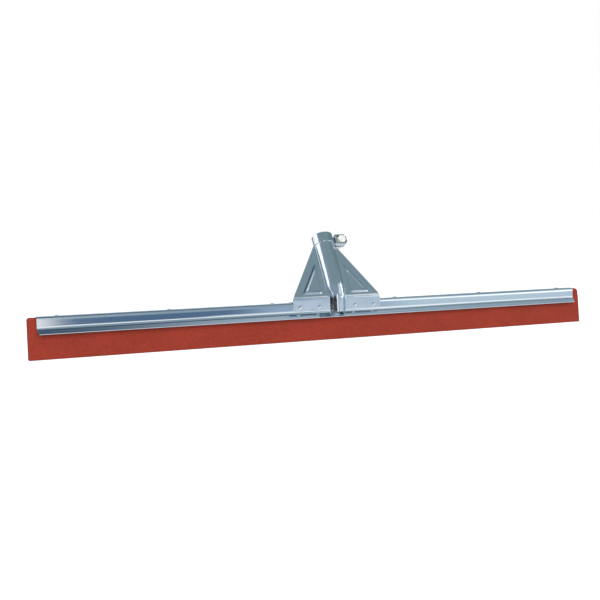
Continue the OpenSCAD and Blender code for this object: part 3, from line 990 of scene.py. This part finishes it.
    def front_part(self) -> list[MeshPart]:
        """The front shell: a sheet over rows along the contact line, and the socket's upper half.

        Returns:
            Both closed shells.
        """
        low, arc = self.foot_z - self.bend_start, self.bend_arc
        top = arc + self.wing_top - self.past_bend
        wing_rows = np.linspace(arc, top, int((top - arc) / self.row_step))
        bend_rows = np.linspace(0, arc, self.bend_rows)
        run = np.concatenate([np.linspace(low, 0, self.foot_rows)[:-1], bend_rows[:-1], wing_rows])
        fillet_at = np.linspace(0, self.fillet_share, self.fillet_columns)
        at = np.concatenate([fillet_at[:-1], np.linspace(self.fillet_share, 1.0, self.top_columns)])
        shape = self.half_profile(np.clip(run / (arc + self.knee_length), 0.0, 1.0), at)
        width = self.outline(self.contact(run)[1][:, 1])[:, None]
        wing_at = np.linspace(0.0, 1.0, self.wing_columns, endpoint=False)
        wing_x = width + (shape[:, :1, 0] - width) * wing_at
        wing = np.stack([wing_x, np.full_like(wing_x, self.sheet)], axis=-1)
        half = np.concatenate([wing, shape], axis=1)
        outer = np.concatenate([half, (half * [-1.0, 1.0])[:, -2::-1]], axis=1)
        inner = moved(outer, self.sheet)
        inner[:, : self.wing_columns, 1] = 0.0
        inner[:, -self.wing_columns:, 1] = 0.0
        s = np.maximum(run - arc + self.past_bend, 0.0)[:, None]
        press = self.rib(np.abs(outer[..., 0]), s) * (run > arc)[:, None]
        drop = np.concatenate([np.zeros(self.wing_columns), smooth(*self.drop_shares, at)])
        drop = np.concatenate([drop, drop[-2::-1]])
        fade = 1.0 - smooth(low, low + self.drop_length, run)
        lowered = run[:, None] - self.bulge_drop * drop * fade[:, None]
        faces = [self._raised(lowered, face[..., 0], face[..., 1] + press) for face in (outer, inner)]
        return [thick_sheet(*faces), self._upper_half()]

    def _raised(self, run: Array, x: Array, height: Array) -> Array:
        """Points raised square to the contact line, towards the front.

        Args:
            run: lengths along the line.
            x: places along the blade.
            height: how far they are raised.

        Returns:
            The points.
        """
        q, foot = self.contact(run)
        y, z = foot[..., 0] - height * np.cos(q), foot[..., 1] + height * np.sin(q)
        return np.stack([x, y, z], axis=-1)

    def socket_frame(self) -> Matrix:
        """The socket's own frame: Z up its axis from the bend, -Y to the front."""
        return Matrix.Translation((0, self.wall_y, self.bend_z)) @ Matrix.Rotation(-self.tilt, 4, "X")

    def _upper_half(self) -> MeshPart:
        """The socket's front half round above the wings, a little short of the seam.

        Returns:
            The closed shell.
        """
        seam = math.asin(self.seam / self.socket_r)
        q = np.linspace(seam, math.pi - seam, self.upper_columns)
        s = np.linspace(self.wing_top, self.socket_length, self.upper_rows)[:, None]
        faces = []
        for r in (self.socket_r, self.socket_r - self.sheet):
            grid = np.stack(np.broadcast_arrays(r * np.cos(q), -r * np.sin(q), s), axis=-1)
            faces.append(placed(grid, self.socket_frame()))
        return thick_sheet(*faces)

    def build(self, finishes: Finishes) -> None:
        """Makes both shells.

        Args:
            finishes: the materials.
        """
        front = make_piece("bracket_front", self.front_part(), finishes.bracket, self.edge)
        declare(front, "frame", "bracket", "socket_front")
        rear = refined_node("socket_back", "bracket_rear", finishes.bracket, self.edge)
        declare(rear, "frame", "bracket")


@dataclass
class Clamp:
    """The split band with its ears, and the bolt, washers and nut that draw it together.

    side_z gives the rows up a hexagon's sides: the rise of its seat's face, the first row
    above it, and how far the last one lies below the top.
    """

    bolt_offset: float = 24.0
    bolt_s: float = 80.5
    ear_face: float = 3.4
    bolt_r: float = 3.0
    bolt_length: float = 20.0
    shank_in_head: float = 0.5
    plain_length: float = 3.0
    thread_runout: float = 0.6
    tip_length: float = 0.8
    tip_cut: float = 0.7
    pitch: float = 1.0
    thread_depth: float = 0.32
    thread_steps: int = 28
    thread_rows: int = 206
    flats: float = 10.0
    head: float = 4.0
    nut: float = 5.0
    nut_bore: float = 3.05
    bore_cut: float = 0.35
    nut_inner_z: float = 0.3
    head_pole: float = 0.4
    seat_share: float = 0.97
    cone_share: float = 0.475
    side_z: Triple = (0.12, 0.3, 0.7)
    side_rows: int = 5
    cone_height: float = 0.62
    cone_rows: int = 12
    hex_steps: int = 96
    washer_r: float = 5.5
    washer_hole: float = 3.3
    washer: float = 1.6
    washer_round: float = 0.15
    washer_steps: int = 56
    edge: float = 0.14

    def build(self, bracket: Bracket, finishes: Finishes) -> None:
        """Makes the clamp's pieces.

        Args:
            bracket: gives the socket's frame.
            finishes: the materials.
        """
        turn = Matrix.Rotation(math.pi / 2, 4, "X")
        axis = bracket.socket_frame() @ Matrix.Translation((self.bolt_offset, 0, self.bolt_s)) @ turn
        band = refined_node("clamp_band", "band_strip", finishes.clamp, self.edge)
        declare(band, "clamp", "clamp")
        seat = self.ear_face + self.washer
        head_at = axis @ Matrix.Translation((0, 0, seat))
        bolt = [self._hexagon(head_at, self.head, 0.0, 0.0), self._shank(head_at)]
        nut_at = axis @ Matrix.Translation((0, 0, -seat)) @ Matrix.Rotation(math.pi, 4, "X")
        nut = [self._hexagon(nut_at, self.nut, self.nut_bore, math.radians(30))]
        washer_front, washer_rear = (
            [self._washer(axis @ Matrix.Translation((0, 0, low)))] for low in (self.ear_face, -seat)
        )
        for name, parts, body, node in (
            ("clamp_screw", bolt, "bolt", "clamp_bolt"),
            ("clamp_hex_nut", nut, "clamp", "clamp_nut"),
            ("washer_front", washer_front, "bolt_carrier", "clamp_washer_front"),
            ("washer_rear", washer_rear, "clamp", "clamp_washer_rear"),
        ):
            declare(make_piece(name, parts, finishes.fastener, 0.0), body, "fastener", node)

    def _hexagon(self, place: Matrix, height: float, bore: float, start: float) -> MeshPart:
        """A hexagonal prism whose corners are cut by a 30 degree cone at its far end.

        Its radius at angle a and height z is the smaller of (flats / 2) / cos(a mod 60 - 30)
        and cone_share * flats + (height - z) / tan(30).

        Args:
            place: placement of its seat, in millimetres.
            height: its height.
            bore: radius of its bore, or 0 for a solid head.
            start: turn of its corners, in radians.

        Returns:
            The closed shell.
        """
        q = np.linspace(0, 2 * math.pi, self.hex_steps, endpoint=False)
        hexagon = self.flats / 2 / np.cos(np.mod(q, math.pi / 3) - math.pi / 6)
        rise, first, below_top = self.side_z
        side_z = np.linspace(first, height - below_top, self.side_rows)
        cone_z = np.linspace(height - self.cone_height, height, self.cone_rows)
        z = np.concatenate([[0.0, rise], side_z, cone_z])[:, None]
        cone = self.cone_share * self.flats + (height - z) / math.tan(math.radians(30))
        side = np.minimum(hexagon * np.where(z == 0, self.seat_share, 1.0), cone)
        inner = bore or self.head_pole
        middle = (inner + self.flats / 2) / 2
        seat, top = [(inner, 0.0), (middle, 0.0)], [(middle, height), (inner, height)]
        if bore:
            cut = self.bore_cut
            top[1:] = [(inner + cut, height), (inner, height - cut), (inner, self.nut_inner_z)]
        seat, top = np.array(seat)[:, :, None], np.array(top)[:, :, None]
        radius = np.concatenate([seat[:, 0] + 0 * q, side, top[:, 0] + 0 * q])
        return revolved(radius, np.concatenate([seat[:, 1], z, top[:, 1]]), place, start, bore > 0)

    def _shank(self, place: Matrix) -> MeshPart:
        """The threaded shank, plain under the head.

        Its radius at angle a and height z is r - depth * |2 frac(z / pitch - a / 2 pi) - 1|.

        Args:
            place: placement of the head's seat, in millimetres.

        Returns:
            The closed shell.
        """
        low, plain = -self.bolt_length, -self.plain_length
        q = np.linspace(0, 2 * math.pi, self.thread_steps, endpoint=False)
        z = np.linspace(low, self.shank_in_head, self.thread_rows)[:, None]
        wave = np.abs(2 * np.mod(z / self.pitch - q / (2 * math.pi), 1.0) - 1.0)
        depth = self.thread_depth * smooth(plain, plain - self.thread_runout, z)
        tip = self.tip_cut * smooth(low + self.tip_length, low, z)
        return revolved(self.bolt_r - depth * wave - tip, z, place, 0.0, False)

    def _washer(self, place: Matrix) -> MeshPart:
        """A flat washer with rounded rims, as a turned closed profile.

        Args:
            place: placement of its lower face, in millimetres.

        Returns:
            The closed shell.
        """
        a, b, t, e = self.washer_hole, self.washer_r, self.washer, self.washer_round
        low = [[a, e], [a + e, 0], [b - 2 * e, 0], [b - 0.6 * e, 0.4 * e], [b, 1.4 * e]]
        high = [[b, t - 2 * e], [b - 0.6 * e, t - 0.6 * e], [b - 2 * e, t], [a + e, t], [a, t - e]]
        return turned(np.array(low + high), place, self.washer_steps, ring=True)


@dataclass
class Rivets:
    """The small domed rivets in the channel's top and in the bracket's feet."""

    top_x: Sequence[float] = (-85.0, -214.0, -343.0, 85.0, 214.0, 343.0)
    foot_x: Sequence[float] = (-24.5, -51.0, 24.5, 51.0)
    top_head_r: float = 3.4
    top_shank_r: float = 1.0
    foot_head_r: float = 2.8
    foot_shank_r: float = 1.6
    dome: float = 1.1
    rim: float = 0.05
    pole_angle: float = 0.04
    pole_r: float = 0.2
    top_z: float = 48.5
    top_low: float = 33.95
    foot_z: float = 41.3
    foot_reach: float = 8.75
    dome_rows: int = 14
    steps: int = 40

    def _head(self, radius: float, low: float) -> Array:
        """A dome's profile from its rim to near the axis.

        Args:
            radius: the rim's radius.
            low: the rim's height.

        Returns:
            Points (radius, height).
        """
        ball = (radius * radius + self.dome * self.dome) / (2 * self.dome)
        at = np.linspace(math.asin(radius / ball), self.pole_angle, self.dome_rows)
        dome = np.stack([ball * np.sin(at), low + self.dome - ball + ball * np.cos(at)], axis=1)
        return np.concatenate([[[radius - self.rim, low]], dome])

    def build(self, finishes: Finishes) -> None:
        """Makes each rivet as one turned solid.

        Args:
            finishes: the materials.
        """
        r, low, reach = self.top_shank_r, self.top_low, self.foot_reach
        shank = [[self.pole_r, low], [r, low], [r, self.top_z]]
        top = np.concatenate([shank, self._head(self.top_head_r, self.top_z)])
        half = np.concatenate([[[self.foot_shank_r, reach]], self._head(self.foot_head_r, reach)])
        foot = np.concatenate([(half * [1.0, -1.0])[::-1], half])
        turn = Matrix.Rotation(math.pi / 2, 4, "X")
        top_at = [Matrix.Translation((x, 0, 0)) for x in self.top_x]
        foot_at = [Matrix.Translation((x, 0, self.foot_z)) @ turn for x in self.foot_x]
        kinds = ("top", "channel", top, top_at), ("foot", "foot", foot, foot_at)
        for kind, node, profile, places in kinds:
            for k, place in enumerate(places, 1):
                rivet = turned(profile, place, self.steps)
                piece = make_piece(f"rivet_{kind}_{k}", [rivet], finishes.rivet, 0.0)
                declare(piece, "frame", "rivet", f"{node}_rivet_{k}")


# Studio


@dataclass(frozen=True)
class Panel:
    """A soft panel painted on the world: a patch between azimuths and elevations, in degrees.

    Azimuth 0 is straight ahead of the head (-Y) and grows towards +X.
    """

    azimuth: tuple[float, float]
    elevation: tuple[float, float]
    colour: Colour
    soft: float


@dataclass
class Studio:
    """Floor, lights, painted surroundings and camera."""

    swing: float = 0.371118
    dip: float = 0.036469
    roll: float = -0.039141
    focal: float = 851.307
    place: Triple = (-0.434035, -0.993389, 0.090232)
    picture: int = 600
    sensor: float = 36.0
    floor_half: float = 4.0
    floor_z: float = -0.0003
    floor_glow: float = 0.86

    def panels(self) -> list[Panel]:
        """The patches of the surroundings that the bright metal mirrors.

        Returns:
            The panels, each painted over those before it.
        """
        white, bright, pale = srgb(255, 255, 255), (1.3, 1.33, 1.36), srgb(193, 210, 222)
        grey, rear, mid = srgb(170, 185, 196), srgb(170, 184, 196), srgb(156, 176, 200)
        blue, deep, teal = srgb(84, 111, 140), srgb(72, 90, 108), srgb(128, 148, 156)
        moss, black = srgb(106, 132, 138), srgb(14, 18, 24)
        return [
            Panel((-180, 180), (62, 120), deep, 8),
            Panel((100, 200), (30, 75), rear, 14),
            Panel((-200, -150), (30, 75), rear, 14),
            Panel((110, 200), (-12, 32), srgb(216, 226, 232), 12),
            Panel((-90, 62), (41, 62), teal, 6),
            Panel((52, 150), (4, 46), moss, 8),
            Panel((26, 48), (8, 30), grey, 12),
            Panel((26, 48), (-14, 8), pale, 6),
            Panel((17, 27), (-14, 6), mid, 5),
            Panel((-12, 18), (-14, 3), blue, 4),
            Panel((-12, 26), (7, 16), srgb(150, 168, 180), 6),
            Panel((-20, 5), (-12, 28), white, 2.4),
            Panel((15.5, 25.5), (-10, -2.65), srgb(228, 238, 246), 0.7),
            Panel((26, 60), (4, 15), (1.35, 1.38, 1.4), 4),
            Panel((27, 36), (24, 40), white, 5),
            Panel((46, 78), (11, 35), bright, 5),
            Panel((-176, -90), (8, 47), bright, 4),
            Panel((-188, -96), (-20, 14), white, 5),
            Panel((-182, -145), (1, 15), srgb(60, 76, 82), 4),
            Panel((-90, -22), (-10, 3), black, 4),
            Panel((-80, -38), (1, 9), black, 5),
            Panel((-66, -44), (7, 15), black, 5),
            Panel((-180, 180), (-90, -7), white, 4),
            Panel((-180, 180), (-90, -18), srgb(212, 220, 227), 10),
        ]

    def build(self) -> None:
        """Makes the stage."""
        self._world()
        self._floor()
        self._light("key", (-0.5, -1.3, 0.75), (0.0, 0.0, 0.02), 1.1, 22.0)
        self._light("fill", (0.8, -1.0, 0.5), (0.2, 0.0, 0.02), 0.9, 7.0)
        self._light("top", (0.1, -0.1, 1.4), (0.0, 0.0, 0.03), 1.1, 9.0)
        self._light("rear", (0.5, 1.1, 0.9), (0.0, 0.0, 0.03), 0.9, 8.0)
        self._camera()
        view = bpy.context.scene.view_settings
        view.view_transform, view.look = "Standard", "None"

    def _world(self) -> None:
        """Paints the world by direction; the camera sees plain white."""
        world = bpy.data.worlds.new("studio")
        bpy.context.scene.world = world
        world.use_nodes = True
        g = Graph(world.node_tree)
        world.node_tree.nodes.clear()
        x, y, z = g.node("SeparateXYZ", {0: g.node("TexCoord").outputs["Generated"]}).outputs
        azimuth = g.maths("DEGREES", g.maths("ARCTAN2", x, g.maths("MULTIPLY", y, -1.0)))
        elevation = g.maths("DEGREES", g.maths("ARCSINE", z))
        colour = g.mix(g.step(elevation, -10, 80), srgb(142, 160, 176), srgb(128, 148, 162))
        for panel in self.panels():
            mask, s = 1.0, panel.soft / 2
            for value, (low, high) in ((azimuth, panel.azimuth), (elevation, panel.elevation)):
                mask = g.maths("MULTIPLY", mask, g.step(value, low - s, low + s))
                mask = g.maths("MULTIPLY", mask, g.step(value, high - s, high + s, 1.0, 0.0))
            colour = g.mix(mask, colour, panel.colour)
        sky = g.node("Background", {"Color": colour, "Strength": 1.0}).outputs[0]
        plain = g.node("Background", {"Color": (1, 1, 1, 1), "Strength": 1.0}).outputs[0]
        soft = g.node("Background", {"Color": (0.93, 0.96, 1.0, 1), "Strength": 0.55}).outputs[0]
        ray = g.node("LightPath").outputs
        mixed = g.node("MixShader", {0: ray["Is Diffuse Ray"], 1: sky, 2: soft}).outputs[0]
        mixed = g.node("MixShader", {0: ray["Is Camera Ray"], 1: mixed, 2: plain}).outputs[0]
        g.node("OutputWorld", {0: mixed})

    def _floor(self) -> None:
        """A plain pale floor, which the bright metal doesn't mirror."""
        mesh = bpy.data.meshes.new("floor")
        r, z = self.floor_half, self.floor_z
        mesh.from_pydata([(-r, -r, z), (r, -r, z), (r, r, z), (-r, r, z)], [], [(0, 1, 2, 3)])
        material, g, shader = new_material("pale_floor")
        tone = g.step(g.noise(g.place(), 3.0, 2.0), 0.3, 0.7)
        g.feed(shader, {
            "Base Color": g.mix(tone, (0.32, 0.32, 0.32), (0.3, 0.305, 0.31)),
            "Roughness": 0.9,
            "Specular IOR Level": 0.0,
            "Emission Color": (1, 1, 1, 1),
            "Emission Strength": self.floor_glow,
        })
        mesh.materials.append(material)
        floor = linked("floor", mesh)
        floor.visible_glossy = False

    @staticmethod
    def _light(name: str, place: Triple, target: Triple, size: float, power: float) -> None:
        """Adds a soft square light that shades matte surfaces only.

        Args:
            name: its name.
            place: where it is, in metres.
            target: what it points at.
            size: its side.
            power: its power in watts.
        """
        light = bpy.data.lights.new(name, "AREA")
        light.size, light.energy = size, power
        lamp = linked(name, light)
        lamp.location = place
        lamp.rotation_euler = (Vector(target) - Vector(place)).to_track_quat("-Z", "Y").to_euler()
        lamp.visible_camera = False
        lamp.visible_glossy = False

    def _camera(self) -> None:
        """Puts the camera where the picture was taken from.

        Its axes: forward = (sin a cos e, cos a cos e, -sin e) for swing a and dip e, the
        right and up axes turned about it by the roll.
        """
        a, e, r = self.swing, self.dip, self.roll
        forward = Vector((math.sin(a) * math.cos(e), math.cos(a) * math.cos(e), -math.sin(e)))
        right = Vector((math.cos(a), -math.sin(a), 0))
        up = right.cross(forward)
        x = math.cos(r) * right + math.sin(r) * up
        y = -math.sin(r) * right + math.cos(r) * up
        lens = bpy.data.cameras.new("camera")
        lens.sensor_width = self.sensor
        lens.lens = self.focal * self.sensor / self.picture
        lens.clip_start, lens.clip_end = 0.01, 50.0
        eye = linked("camera", lens)
        eye.matrix_world = Matrix.Translation(self.place) @ Matrix((x, y, -forward)).transposed().to_4x4()
        bpy.context.scene.camera = eye


def main() -> None:
    """Builds the head's pieces and the studio."""
    logging.basicConfig(level=logging.INFO, format="%(message)s")
    finishes = Finishes(Effects())
    Studio().build()
    Blade().build(finishes)
    Channel().build(finishes)
    bracket = Bracket()
    bracket.build(finishes)
    Clamp().build(bracket, finishes)
    Rivets().build(finishes)
    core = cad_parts["core_strip"]
    core.data.materials.clear()
    core.data.materials.append(finishes.core)


if __name__ == "__main__":
    main()
